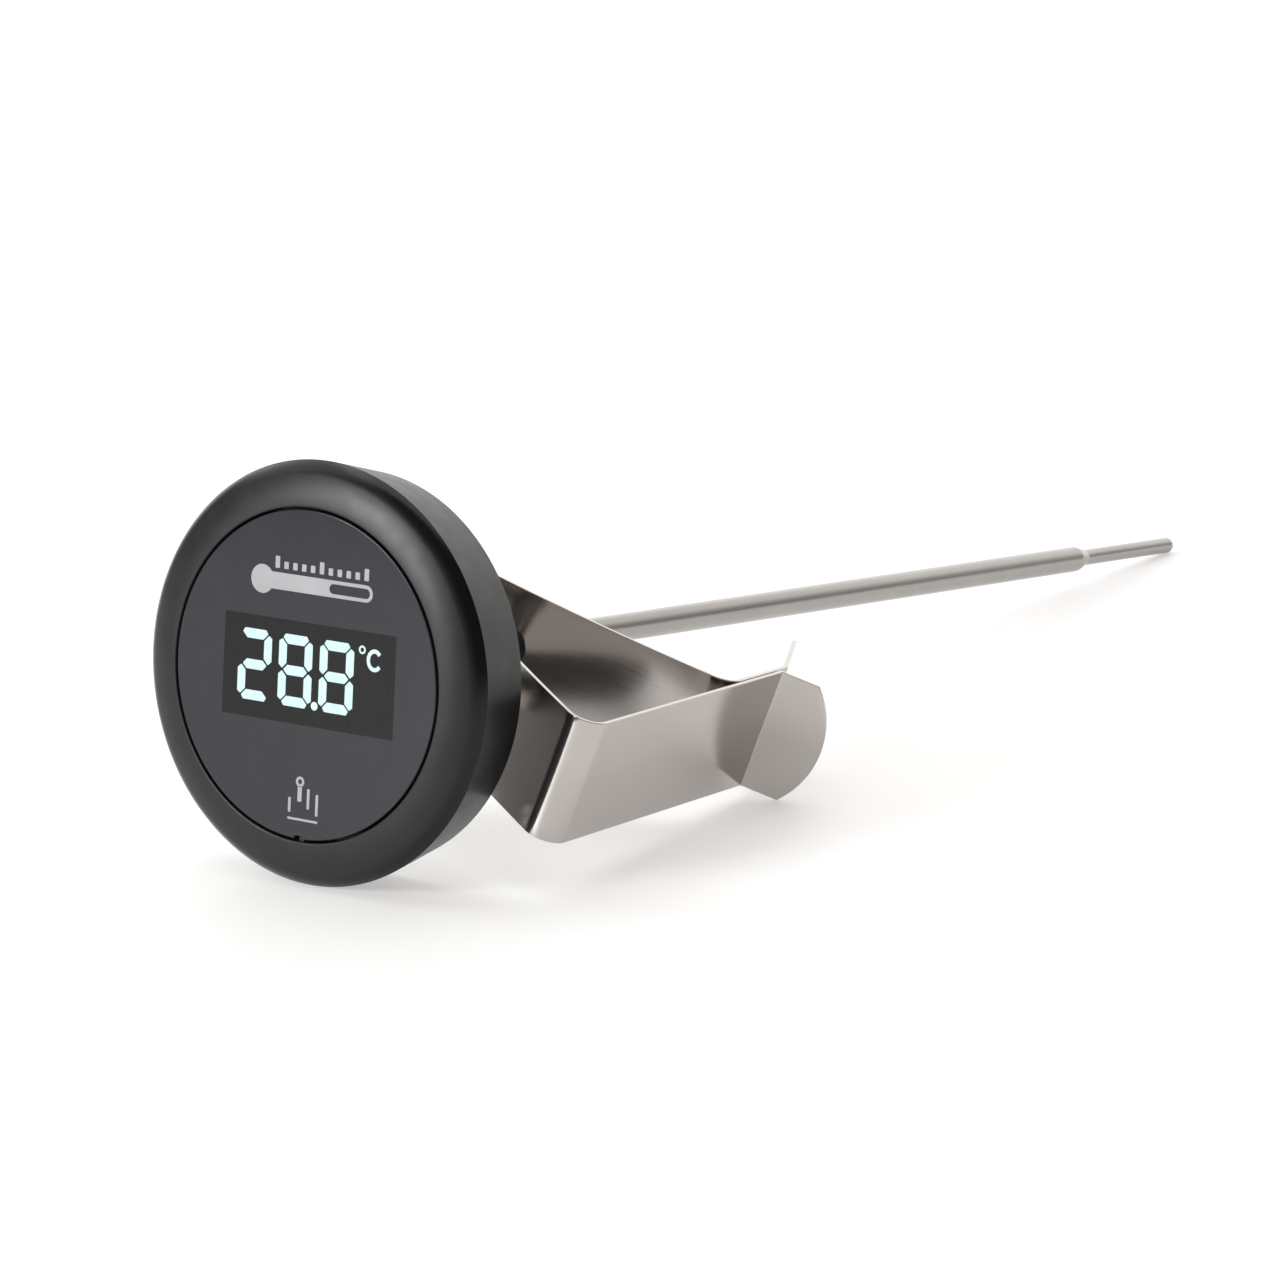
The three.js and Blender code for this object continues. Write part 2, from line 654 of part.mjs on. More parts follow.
export default thermometer;
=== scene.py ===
"""A dial thermometer for milk and coffee with its spring clip, lying on a pale table.

The head and stem are drawn in the dial's own frame (millimetres, +Z out of the dial, the stem along -Z).
The clip is drawn in a frame of its own (X down the stem, Y out towards its leg). Both frames stand
where the CAD puts them.
"""

import json
import math

import bmesh
import bpy
from mathutils import Euler, Matrix, Vector


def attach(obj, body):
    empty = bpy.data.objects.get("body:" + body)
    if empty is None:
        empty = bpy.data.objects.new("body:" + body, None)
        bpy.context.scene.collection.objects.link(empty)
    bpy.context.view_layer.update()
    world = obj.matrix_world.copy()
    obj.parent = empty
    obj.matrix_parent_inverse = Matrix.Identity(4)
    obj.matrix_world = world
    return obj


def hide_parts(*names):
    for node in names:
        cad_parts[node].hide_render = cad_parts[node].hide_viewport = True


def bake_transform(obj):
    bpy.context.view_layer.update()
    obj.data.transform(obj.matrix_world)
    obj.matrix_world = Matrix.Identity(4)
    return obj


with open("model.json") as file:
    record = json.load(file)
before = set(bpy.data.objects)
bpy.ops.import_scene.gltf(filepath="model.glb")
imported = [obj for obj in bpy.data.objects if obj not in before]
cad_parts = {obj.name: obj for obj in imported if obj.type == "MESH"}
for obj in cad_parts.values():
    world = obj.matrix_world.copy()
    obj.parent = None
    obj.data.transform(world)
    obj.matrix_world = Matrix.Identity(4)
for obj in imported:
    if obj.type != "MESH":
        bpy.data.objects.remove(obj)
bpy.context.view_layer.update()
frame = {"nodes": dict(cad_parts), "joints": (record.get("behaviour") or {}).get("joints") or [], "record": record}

# ---------------------------------------------------------------- sizes, in millimetres

MM = 0.001

# The head, as radii from its axis and depths behind the dial's front face.
HEAD_RADIUS = 25.0
WIDEST_DEPTH = 2.3
REAR_RADIUS = 23.3
HEAD_DEPTH = 11.0
MOUTH_RADIUS = 19.6
MOUTH_ROUNDING = 0.22
SHOULDER_START = Vector((23.4, 0.82))
RING_EDGE = Vector((HEAD_RADIUS - 0.05, WIDEST_DEPTH - 0.08))
LEDGE_RADIUS = 17.6
LEDGE_DEPTH = 2.3
CAVITY_RADIUS = 20.9
CAVITY_FRONT = 4.3
SEAT_GAP = 0.3
FACE_RADIUS = 19.3
FACE_THICKNESS = 1.5
KEY_HALF_WIDTH = 0.4
NOTCH_HALF_WIDTH = 0.6
COVER_RADIUS = 22.0
COVER_FRONT = 9.4
COLLAR_HOLE = 2.85
BOSS_CIRCLE = 18.9
SCREW_ANGLES = (35, 145, 235, 305)
CELL_OFFSET = 12.5

# The display and the prints on the dial. A negative depth stands proud of the dial's face.
WINDOW_FRONT = -0.008
PRINT_FRONT = -0.02
SEGMENT_FRONT = -0.03
PRINT_BACK = 0.02
DIGIT_BOTTOM = -3.85
DIGIT_TOP = 4.58
SEGMENT_BAR = 1.16
SEGMENT_CLIP = 0.92
SEGMENT_GAP = 0.14

# The stem.
STEM_RADIUS = 1.75
STEM_START = 5.9
STEP_START = 172.5
STEP_END = 175
STEM_BORE = 1.3
TIP_RADIUS = 1.1
TIP_BORE = 0.8
TIP_END = 199.5

# The clip's corners, before they are rounded, in the clip's frame.
HEEL = Vector((12.1, 31.0))
SPRING = Vector((33.95, -17.3))
DIAGONAL = Vector((45.7, 24.3))
LEG_END = Vector((58.5, 26.3))
LIP_CHORD = Vector((60.5, 30.8))
INNER_LIP_CHORD = Vector((69.4, 20.3))

# The clip's strip. The lean is a slope across the strip at the diagonal panel's middle.
STRIP_THICKNESS = 0.5
STRIP_WIDTH = 15.75
STRIP_EDGE = 0.09
JAW_OVERHANG = 2.2
JAW_GAP = 0.12
HEEL_BEND = 2.6
SPRING_BEND = 3.5
JAW_BEND = 3.0
LIP_BEND = 0.6
LIP_ROUND = 11.7
BASE_BOW = 0.6
DIAGONAL_LEAN = 0.1
PANEL_HOLE = 2.2
BUSH_HOLE = 2.65
BUSH_BORE = 1.87
BUSH_HUB = 2.35
BUSH_FLANGE = 2.9

# ---------------------------------------------------------------- frames

TILT = math.atan2(HEAD_RADIUS - TIP_RADIUS, TIP_END - TIP_RADIUS - WIDEST_DEPTH)
DIAL = Vector((-3.7136, -97.8135, 25.0946)) * MM
HEAD_FRAME = Matrix.Translation(DIAL) @ Matrix.Rotation(math.pi / 2 - TILT, 4, "X")


def clip_frame():
    joints = {joint["name"]: joint for joint in frame["joints"]}
    down_stem = Vector(joints["clip_slide"]["axis"]).normalized()
    across = Vector(joints["clip_leg_flex"]["axis"]).normalized()
    outwards = across.cross(down_stem)
    turn = Matrix((down_stem, outwards, across)).transposed()
    return Matrix.Translation(DIAL) @ turn.to_4x4()


CLIP_FRAME = clip_frame()

# ---------------------------------------------------------------- materials


def node_in(tree, kind, inputs=(), **settings):
    """A new shader node whose inputs are linked to sockets or set to values."""
    node = tree.nodes.new("ShaderNode" + kind)
    for key, value in settings.items():
        setattr(node, key, value)
    for key, value in dict(inputs).items():
        if isinstance(value, bpy.types.NodeSocket):
            tree.links.new(value, node.inputs[key])
        else:
            node.inputs[key].default_value = value
    return node


class Look:
    """A procedural material. Numbers that hold for the whole surface go straight on the shader."""

    def __init__(self, name, **constants):
        self.material = bpy.data.materials.new(name)
        self.material.use_nodes = True
        self.tree = self.material.node_tree
        self.shader = self.tree.nodes["Principled BSDF"]
        for key, value in constants.items():
            self.shader.inputs[key.replace("_", " ")].default_value = value

    def node(self, kind, inputs=(), **settings):
        return node_in(self.tree, kind, inputs, **settings)

    def feed(self, socket, output):
        self.tree.links.new(output, self.shader.inputs[socket])

    def place(self, scale, uv=None):
        """Coordinates in metres along a strip or in the dial's frame, times a scale for each axis."""
        if uv:
            source = self.node("UVMap", uv_map=uv).outputs[0]
            return self.node("Mapping", {"Vector": source, "Scale": scale}).outputs[0]
        inputs = {
            "Vector": self.node("TexCoord").outputs["Object"],
            "Location": DIAL,
            "Rotation": (math.pi / 2 - TILT, 0, 0),
            "Scale": [1 / part for part in scale],
        }
        return self.node("Mapping", inputs, vector_type="TEXTURE").outputs[0]

    def noise(self, scale, detail=3.0, roughness=0.55, uv=None):
        inputs = {
            "Vector": self.place(scale, uv),
            "Scale": 1.0,
            "Detail": detail,
            "Roughness": roughness,
        }
        return self.node("TexNoise", inputs).outputs["Fac"]

    def ramp(self, factor, low, high, start=0.3, end=0.7):
        ramp = self.node("ValToRGB", {"Fac": factor})
        first, last = ramp.color_ramp.elements
        first.position, last.position = start, end
        first.color, last.color = (*low, 1), (*high, 1)
        return ramp.outputs["Color"]

    def spread(self, factor, low, high, start=0.25, end=0.75, **settings):
        inputs = {"Value": factor, "From Min": start, "From Max": end, "To Min": low, "To Max": high}
        return self.node("MapRange", inputs, **settings).outputs["Result"]

    def shoulder(self):
        """1 on the ring's rounded shoulder, fading out over the dome in front of it and 0 behind it."""
        parts = self.node("SeparateXYZ", {"Vector": self.place(even(1 / MM))}).outputs
        level = self.node("CombineXYZ", {"X": parts["X"], "Y": parts["Y"]}).outputs[0]
        radius = self.node("VectorMath", {"Vector": level}, operation="LENGTH").outputs["Value"]
        inner_end, outer_end = SHOULDER_START.x - 0.1, HEAD_RADIUS - 0.5
        outer = self.spread(radius, 0, 1, inner_end, outer_end, interpolation_type="SMOOTHSTEP")
        front = self.spread(parts["Z"], 0, 1, -WIDEST_DEPTH - 0.05, -WIDEST_DEPTH + 0.1)
        return self.node("Math", {0: outer, 1: front}, operation="MULTIPLY").outputs[0]

    def bump(self, height, distance, under=None):
        inputs = {"Height": height, "Distance": distance, "Strength": 1.0}
        if under:
            inputs["Normal"] = under
        return self.node("Bump", inputs).outputs["Normal"]


def even(scale):
    return (scale, scale, scale)


# Noise scales are waves per metre, and the depths of grain and waves are in metres.
CLOUDS = even(160)
GLOSS_PATCHES = even(420)
WAVE_DEPTH = 7e-6
SHOULDER_POLISH = 0.16


def moulded(name, low, high, roughness, grain=9000, depth=6e-6, **constants):
    """Satin moulded plastic: a fine grain, faint clouding and slightly uneven gloss."""
    look = Look(name, **constants)
    look.feed("Base Color", look.ramp(look.noise(CLOUDS, 4), low, high))
    look.feed("Roughness", look.spread(look.noise(GLOSS_PATCHES, 3), *roughness))
    look.feed("Normal", look.bump(look.noise(even(grain), 2), depth))
    return look.material


def metal(name, low, high, roughness, stretch, depth=4e-7, uv=None, wave=None, **constants):
    """Rolled or drawn metal: fine lines along it, faint blotches and a slightly wavy surface."""
    look = Look(name, Metallic=1.0, **constants)
    cloud = look.noise(tuple(0.02 * part for part in stretch) if uv else even(90), 3, uv=uv)
    look.feed("Base Color", look.ramp(cloud, low, high))
    lines = look.noise(stretch, 4, 0.6, uv=uv)
    look.feed("Roughness", look.spread(lines, *roughness))
    under = look.bump(look.noise(wave, 1, uv=uv), WAVE_DEPTH) if wave else None
    look.feed("Normal", look.bump(lines, depth, under))
    return look.material


def ring_plastic():
    """Satin black plastic, glossier on the ring's shoulder, where a painted shade darkens its colour to a deeper
    black.
    """
    look = Look("satin_black_plastic", Specular_IOR_Level=0.34)
    shoulder = look.shoulder()
    satin = look.ramp(look.noise(CLOUDS, 4), (0.0085, 0.0083, 0.0093), (0.0125, 0.0122, 0.0134))
    # Painted shade: on the shoulder the colour goes to near black, a painted dark reflection.
    satin_and_painted_shade = {"Fac": shoulder, "Color1": satin, "Color2": (0.0006, 0.0006, 0.0006, 1)}
    look.feed("Base Color", look.node("MixRGB", satin_and_painted_shade).outputs["Color"])
    gloss = look.spread(look.noise(GLOSS_PATCHES, 3), 0.33, 0.41)
    polished = look.node("Math", {0: shoulder, 1: -SHOULDER_POLISH}, operation="MULTIPLY").outputs[0]
    look.feed("Roughness", look.node("Math", {0: gloss, 1: polished}, operation="ADD").outputs[0])
    look.feed("Normal", look.bump(look.noise(even(9000), 2), 4e-6))
    return look.material


HEAD_PLASTIC = ring_plastic()
CAP_PLASTIC = moulded(
    "cap_black_plastic", (0.02, 0.02, 0.021), (0.027, 0.027, 0.028), (0.4, 0.48),
    grain=6000,
)
DIAL_FACE = moulded(
    "smoked_dial_face", (0.0175, 0.017, 0.0225), (0.021, 0.0205, 0.0265), (0.14, 0.18),
    depth=1e-6, Specular_IOR_Level=0.34,
)
WINDOW = moulded(
    "display_window", (0.0062, 0.0062, 0.0066), (0.0078, 0.0078, 0.0082), (0.16, 0.2),
    depth=1e-6, Specular_IOR_Level=0.22,
)
RUBBER = moulded("black_rubber", (0.016, 0.016, 0.016), (0.026, 0.026, 0.026), (0.7, 0.85), depth=2e-5)
ADHESIVE = moulded("foam_adhesive", (0.01, 0.01, 0.011), (0.018, 0.018, 0.02), (0.85, 0.95), depth=3e-5)
WHITE_PLASTIC = moulded("white_display_body", (0.66, 0.7, 0.66), (0.74, 0.78, 0.74), (0.5, 0.6))
BOARD = moulded("green_board", (0.012, 0.06, 0.028), (0.02, 0.085, 0.04), (0.35, 0.5))
CHIP = moulded("chip_epoxy", (0.01, 0.01, 0.01), (0.018, 0.018, 0.018), (0.5, 0.62))
RED_LEAD = moulded("red_lead", (0.38, 0.03, 0.02), (0.46, 0.045, 0.03), (0.5, 0.62))
BEAD = moulded("epoxy_bead", (0.015, 0.02, 0.03), (0.025, 0.03, 0.045), (0.3, 0.4))
PRINT = moulded("pale_print", (0.33, 0.33, 0.345), (0.4, 0.4, 0.415), (0.45, 0.55), depth=1e-6)
STEM_STEEL = metal(
    "drawn_steel", (0.37, 0.352, 0.336), (0.4, 0.382, 0.364), (0.26, 0.31), (3000, 3000, 60),
    depth=6e-8,
)
TURNED_STEEL = metal(
    "turned_steel", (0.48, 0.455, 0.43), (0.54, 0.515, 0.485), (0.22, 0.3), (900, 900, 9000),
)
CELL_STEEL = metal("cell_steel", (0.6, 0.6, 0.6), (0.68, 0.68, 0.68), (0.22, 0.34), even(2500))
GOLD = metal("gold_plate", (0.72, 0.5, 0.17), (0.8, 0.58, 0.22), (0.22, 0.34), even(2500))
CLIP_STEEL = metal(
    "polished_strip", (0.49, 0.46, 0.438), (0.525, 0.493, 0.47), (0.12, 0.17), (130, 5000, 1),
    depth=3e-8, uv="strip", wave=(40, 60, 1),
)


def glowing(name):
    """The lit segments: a pale blue-white that is slightly uneven, as light through a diffuser is."""
    look = Look(name, Emission_Strength=1.0, Roughness=0.4)
    glow = look.ramp(look.noise(even(900), 2), (0.5, 0.75, 0.73), (0.6, 0.82, 0.79))
    look.feed("Emission Color", glow)
    look.feed("Base Color", look.ramp(look.noise(even(900), 2), (0.1, 0.12, 0.12), (0.14, 0.16, 0.16)))
    return look.material


SEGMENTS_LIT = glowing("lit_segments")

# ---------------------------------------------------------------- meshes


def object_of(name, mesh, matrix):
    obj = bpy.data.objects.new(name, mesh)
    obj.matrix_world = matrix
    bpy.context.collection.objects.link(obj)
    return obj


def mesh_of(bm, name):
    bmesh.ops.recalc_face_normals(bm, faces=bm.faces)
    mesh = bpy.data.meshes.new(name)
    bm.to_mesh(mesh)
    bm.free()
    return mesh


def evaluated(obj):
    """The object's mesh with its modifiers applied."""
    graph = bpy.context.evaluated_depsgraph_get()
    return bpy.data.meshes.new_from_object(obj.evaluated_get(graph))


def cut(mesh, tools):
    """The mesh with each of the tool meshes cut out of it."""
    work = object_of("work", mesh, Matrix())
    cutters = []
    for tool in tools:
        cutter = object_of("cutter", tool, Matrix())
        cutters.append(cutter)
        modifier = work.modifiers.new("cut", "BOOLEAN")
        modifier.object = cutter
        modifier.operation = "DIFFERENCE"
        modifier.solver = "EXACT"
    result = evaluated(work)
    for obj in [work, *cutters]:
        bpy.data.objects.remove(obj)
    return result


def smooth(mesh, sharp=38):
    """Smooth shading whose normals follow the larger faces, so flats stay flat beside rounded edges."""
    mesh.shade_smooth()
    mesh.set_sharp_from_angle(angle=math.radians(sharp))
    work = object_of("work", mesh, Matrix())
    modifier = work.modifiers.new("normals", "WEIGHTED_NORMAL")
    modifier.keep_sharp = True
    result = evaluated(work)
    bpy.data.objects.remove(work)
    return result


def piece(name, mesh, material, body="thermometer", matrix=HEAD_FRAME, stands_for=(), across=()):
    """A finished piece, drawn in millimetres. across is the start and end of a bend between two bodies: when it is
    given, the piece stays where it is drawn and joins no body, and the points are not used.
    """
    mesh.transform(matrix @ Matrix.Scale(MM, 4))
    mesh = smooth(mesh)
    mesh.name = name
    mesh.materials.clear()
    mesh.materials.append(material)
    obj = object_of(name, mesh, Matrix())
    if across:
        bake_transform(obj)
    else:
        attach(obj, body)
    if stands_for:
        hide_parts(*stands_for)


def rounded(corners, closed=True, steps=5):
    """A profile from (x, y, rounding) corners: each one is rounded to that radius, or kept if it's 0."""
    points = [Vector(corner[:2]) for corner in corners]
    profile = []
    for i, (point, corner) in enumerate(zip(points, corners)):
        radius = corner[2] if len(corner) > 2 else 0
        inside = closed or 0 < i < len(points) - 1
        if not radius or not inside:
            profile.append(point)
            continue
        back = (points[i - 1] - point).normalized()
        ahead = (points[(i + 1) % len(points)] - point).normalized()
        half = back.angle(ahead) / 2
        centre = point + (back + ahead).normalized() * radius / math.sin(half)
        first = point + back * radius / math.tan(half) - centre
        last = point + ahead * radius / math.tan(half) - centre
        turn = math.atan2(first.cross(last), first.dot(last))
        for step in range(steps + 1):
            profile.append(centre + Matrix.Rotation(turn * step / steps, 2) @ first)
    return profile


def on_circle(radius, degrees):
    return radius * math.cos(math.radians(degrees)), radius * math.sin(math.radians(degrees))


def bezier(start, start_slope, end, end_slope, steps):
    """Points of a curve that leaves and arrives at the given slopes, in degrees."""
    reach = (end - start).length / 3
    first = start + Vector(on_circle(1, start_slope)) * reach
    second = end - Vector(on_circle(1, end_slope)) * reach
    points = []
    for step in range(steps + 1):
        t = step / steps
        s = 1 - t
        points.append(start * s**3 + first * 3 * s * s * t + second * 3 * s * t * t + end * t**3)
    return points


def turned(profile, segments=192, centre=(0, 0)):
    """A solid of revolution about the dial's axis from a closed profile of (radius, depth)."""
    bm = bmesh.new()
    rings = []
    for radius, depth in profile:
        if radius < 1e-6:
            rings.append([bm.verts.new((centre[0], centre[1], -depth))])
            continue
        ring = []
        for i in range(segments):
            angle = math.tau * i / segments
            x = centre[0] + radius * math.cos(angle)
            ring.append(bm.verts.new((x, centre[1] + radius * math.sin(angle), -depth)))
        rings.append(ring)
    for ring, after in zip(rings, rings[1:] + rings[:1]):
        for i in range(segments):
            j = (i + 1) % segments
            near = [ring[i % len(ring)], ring[j % len(ring)]]
            far = [after[j % len(after)], after[i % len(after)]]
            corners = list(dict.fromkeys(near + far))
            if len(corners) > 2:
                bm.faces.new(corners)
    return mesh_of(bm, "turned")


def disc(radius, front, back, segments=96, centre=(0, 0)):
    """A plain round cutter."""
    return turned([(0, front), (radius, front), (radius, back), (0, back)], segments, centre)


def flat(outlines, front, back):
    """Flat shapes in the plane of the dial. An outline inside another is a hole in it."""
    curve = bpy.data.curves.new("flat", "CURVE")
    curve.dimensions = "2D"
    curve.fill_mode = "BOTH"
    curve.extrude = (back - front) / 2
    for outline in outlines:
        spline = curve.splines.new("POLY")
        spline.points.add(len(outline) - 1)
        for point, (x, y) in zip(spline.points, outline):
            point.co = (x, y, 0, 1)
        spline.use_cyclic_u = True
    work = bpy.data.objects.new("work", curve)
    bpy.context.collection.objects.link(work)
    mesh = evaluated(work)
    bpy.data.objects.remove(work)
    bm = bmesh.new()
    bm.from_mesh(mesh)
    bmesh.ops.remove_doubles(bm, verts=bm.verts, dist=1e-4)
    bmesh.ops.translate(bm, verts=bm.verts, vec=(0, 0, -(front + back) / 2))
    return mesh_of(bm, "flat")


def box_outline(left, bottom, right, top, rounding=0.0):
    corners = [(left, bottom), (right, bottom), (right, top), (left, top)]
    return rounded([(x, y, rounding) for x, y in corners])


def circle(x, y, radius, steps=40):
    return [
        (x + radius * math.cos(math.tau * i / steps), y + radius * math.sin(math.tau * i / steps))
        for i in range(steps)
    ]


def capsule(left, right, middle, half):
    """A bar with round ends. The rounding stops just short of half the height, so no two points meet."""
    return box_outline(left, middle - half, right, middle + half, half * 0.999)


# ---------------------------------------------------------------- head


def ring_front():
    """The ring's front from its mouth to its widest edge: a low dome, then a steep rounded shoulder."""
    mouth = Vector((MOUTH_RADIUS + MOUTH_ROUNDING, 0.0))
    dome = bezier(mouth, 3, SHOULDER_START, 22, 14)
    return dome + bezier(SHOULDER_START, 22, RING_EDGE, 60, 10)[1:]


def housing():
    """The ring and side wall in one moulding, with a key at six o'clock that fits the dial's notch."""
    mouth_edge = rounded([
        (MOUTH_RADIUS, LEDGE_DEPTH), (MOUTH_RADIUS, 0, 0.2), (MOUTH_RADIUS + MOUTH_ROUNDING, 0),
    ], closed=False)
    body = rounded([
        (RING_EDGE.x, RING_EDGE.y),
        (HEAD_RADIUS, WIDEST_DEPTH, 0.06),
        (REAR_RADIUS, HEAD_DEPTH, 0.3),
        (COVER_RADIUS + SEAT_GAP, HEAD_DEPTH, 0.12),
        (COVER_RADIUS + SEAT_GAP, COVER_FRONT - SEAT_GAP),
        (CAVITY_RADIUS, COVER_FRONT - SEAT_GAP),
        (CAVITY_RADIUS, CAVITY_FRONT),
        (LEDGE_RADIUS + 2, CAVITY_FRONT),
        (LEDGE_RADIUS, CAVITY_FRONT - 0.8),
        (LEDGE_RADIUS, LEDGE_DEPTH),
    ], closed=False)
    shell = turned([*mouth_edge[:-1], *ring_front(), *body[1:]], 256)
    below, above = -MOUTH_RADIUS - 0.4, -MOUTH_RADIUS + 0.5
    key = flat([box_outline(-KEY_HALF_WIDTH, below, KEY_HALF_WIDTH, above, 0.15)], 0.7, 2.2)
    bm = bmesh.new()
    bm.from_mesh(shell)
    bm.from_mesh(key)
    mesh = bpy.data.meshes.new("housing")
    bm.to_mesh(mesh)
    bm.free()
    return mesh


def face_plate():
    plate = turned(rounded([
        (0, 0), (FACE_RADIUS, 0, 0.14), (FACE_RADIUS, FACE_THICKNESS, 0.1), (0, FACE_THICKNESS),
    ], closed=False), 256)
    below, above = -FACE_RADIUS - 1, -FACE_RADIUS + 0.42
    outline = box_outline(-NOTCH_HALF_WIDTH, below, NOTCH_HALF_WIDTH, above, 0.2)
    return cut(plate, [flat([outline], -1, FACE_THICKNESS + 1)])


def rear_cover():
    """The back plate, with a chamfered seat for the battery cap and countersunk screw holes."""
    plate = turned(rounded([
        (COLLAR_HOLE, COVER_FRONT),
        (COVER_RADIUS, COVER_FRONT),
        (COVER_RADIUS, HEAD_DEPTH, 0.22),
        (COLLAR_HOLE, HEAD_DEPTH, 0.15),
    ]), 256)
    cap_seat = [(0, 10.0), (8.7, 10.0), (8.7, 10.85), (8.9, 11.05), (8.9, 12), (0, 12)]
    tools = [
        disc(8.2, COVER_FRONT - 1, HEAD_DEPTH, 128, (0, CELL_OFFSET)),
        turned(cap_seat, 128, (0, CELL_OFFSET)),
    ]
    screw_hole = [
        (0, 8), (1.0, 8), (1.0, 10.1), (1.8, 10.7), (1.8, 10.9), (1.9, 11.02), (1.9, 12), (0, 12),
    ]
    for degrees in SCREW_ANGLES:
        tools.append(turned(screw_hole, 48, on_circle(BOSS_CIRCLE, degrees)))
    return cut(plate, tools)


def cover_screw(degrees):
    """A countersunk screw with a cross recess, each one left at a different turn."""
    x, y = on_circle(BOSS_CIRCLE, degrees)
    body = turned(rounded([
        (0, 6), (0.7, 6.6), (0.7, 10.1), (1.5, 10.7), (1.5, 10.9, 0.12), (0, 10.9),
    ], closed=False), 48, (x, y))
    turn = math.radians(degrees * 3)
    tools = []
    for quarter in (0, math.pi / 2):
        outline = [Matrix.Rotation(turn + quarter, 2) @ Vector(p) for p in capsule(-0.85, 0.85, 0, 0.2)]
        tools.append(flat([[(x + p.x, y + p.y) for p in outline]], 10.4, 12))
    return cut(body, tools)


def battery_cap():
    """The cap over the cell, with a fine ring round its face and a coin slot."""
    body = turned(rounded([
        (0, 9.5), (7.9, 9.5), (7.9, 10.4), (8.4, 10.4), (8.4, 11, 0.18),
        (7.4, 11), (7.3, 10.93), (7.0, 10.93), (6.9, 11), (0, 11),
    ], closed=False), 160, (0, CELL_OFFSET))
    slot = flat([[(x, y + CELL_OFFSET) for x, y in capsule(-5, 5, 0, 0.8)]], 10.2, 12)
    return cut(body, [slot])


def segment_outlines(left, right, bottom, top, lit):
    """The lit segments of one digit, as mitred bars with clipped outer corners."""
    bar, clip, gap = SEGMENT_BAR, SEGMENT_CLIP, SEGMENT_GAP
    middle = (bottom + top) / 2
    half = bar / 2

    def level(y, outer, inward):
        """A bar across the top or bottom of the digit."""
        return [
            (left + clip, outer),
            (right - clip, outer),
            (right - clip / 2 - gap, outer + inward * clip / 2),
            (right - bar - gap, y),
            (left + bar + gap, y),
            (left + clip / 2 + gap, outer + inward * clip / 2),
        ]

    def upright(side, inward, end, end_in):
        """A bar up one side, from the digit's middle to one of its ends."""
        near = middle + (gap if end > middle else -gap)
        waist = near + (half if end > middle else -half)
        return [
            (side, end + end_in * clip),
            (side + inward * clip / 2, end + end_in * (clip / 2 + gap)),
            (side + inward * bar, end + end_in * (bar + gap)),
            (side + inward * bar, waist + (gap if end > middle else -gap) * 0.6),
            (side + inward * half * 0.9, near),
            (side, waist - (half * 0.25 if end > middle else -half * 0.25)),
        ]

    waist_bar = [
        (left + half + gap, middle),
        (left + bar + gap, middle + half),
        (right - bar - gap, middle + half),
        (right - half - gap, middle),
        (right - bar - gap, middle - half),
        (left + bar + gap, middle - half),
    ]
    bars = {
        "a": level(top - bar, top, -1),
        "b": upright(right, -1, top, -1),
        "c": upright(right, -1, bottom, 1),
        "d": level(bottom + bar, bottom, 1),
        "e": upright(left, 1, bottom, 1),
        "f": upright(left, 1, top, -1),
        "g": waist_bar,
    }
    return [rounded([(x, y, 0.12) for x, y in bars[name]], steps=3) for name in lit]


def display_digits():
    """A 2 and two 8s with a decimal point between them, then the degree ring and the unit."""
    outlines = []
    for left, right, lit in ((-10.0, -5.0, "abged"), (-3.9, 1.1, "abcdefg"), (2.2, 7.25, "abcdefg")):
        outlines += segment_outlines(left, right, DIGIT_BOTTOM, DIGIT_TOP, lit)
    outlines.append(circle(1.65, -3.38, 0.5))
    outlines += [circle(8.4, 4.1, 0.5), circle(8.4, 4.1, 0.27)]
    outlines.append(letter_arc(10.25, 3.05, 1.15, 1.32, 0.48, 38))
    return flat(outlines, SEGMENT_FRONT, PRINT_BACK)


def letter_arc(x, y, across, up, stroke, opening, steps=28):
    """An open ring, for the unit beside the digits."""
    outer, inner = [], []
    for step in range(steps + 1):
        angle = math.radians(opening + (360 - 2 * opening) * step / steps)
        outer.append((x + across * math.cos(angle), y + up * math.sin(angle)))
        inner.append((x + (across - stroke) * math.cos(angle), y + (up - stroke) * math.sin(angle)))
    return outer + inner[::-1]


def dial_marks():
    """A bold little thermometer lying on its side, with its scale above it."""
    bulb, tube, wall = 1.7, 1.0, 0.42
    middle, left, right = 10.6, -6.8, 9.6
    bulb_steps, end_steps = 32, 12
    tick_count, tick_pitch, tick_half = 11, 1.32, 0.33
    angle = math.asin(tube / bulb)
    shell = []
    for step in range(bulb_steps + 1):
        turn = angle + (math.tau - 2 * angle) * step / bulb_steps
        shell.append((left + bulb * math.cos(turn), middle + bulb * math.sin(turn)))
    for step in range(end_steps + 1):
        turn = -math.pi / 2 + math.pi * step / end_steps
        shell.append((right - tube + tube * math.cos(turn), middle + tube * math.sin(turn)))
    slot = capsule(3.2, right - wall, middle, tube - wall)
    ticks = []
    for index in range(tick_count):
        x = -4.6 + index * tick_pitch
        top = 13.5 if index % 5 == 0 else 12.95
        ticks.append(box_outline(x - tick_half, 12.1, x + tick_half, top, 0.1))
    return flat([shell, slot, *ticks], PRINT_FRONT, PRINT_BACK)


def touch_mark():
    """A ring on a stem between three short bars, and a thin rule below."""
    ring = [circle(0, -12.5, 0.62), circle(0, -12.5, 0.3)]
    bars = [
        (-0.31, -14.85, 0.31, -13.02), (-1.67, -16.25, -1.28, -14.5), (1.1, -15.6, 1.49, -13.2),
        (2.4, -16.25, 2.79, -13.7),
    ]
    rule = box_outline(-1.69, -17.1, 2.81, -16.82, 0.1)
    outlines = ring + [box_outline(*bar, 0.12) for bar in bars] + [rule]
    return flat(outlines, PRINT_FRONT, PRINT_BACK)


def display_window():
    return flat([box_outline(-12.2, -5.85, 13.3, 6.22, 0.12)], WINDOW_FRONT, PRINT_BACK)


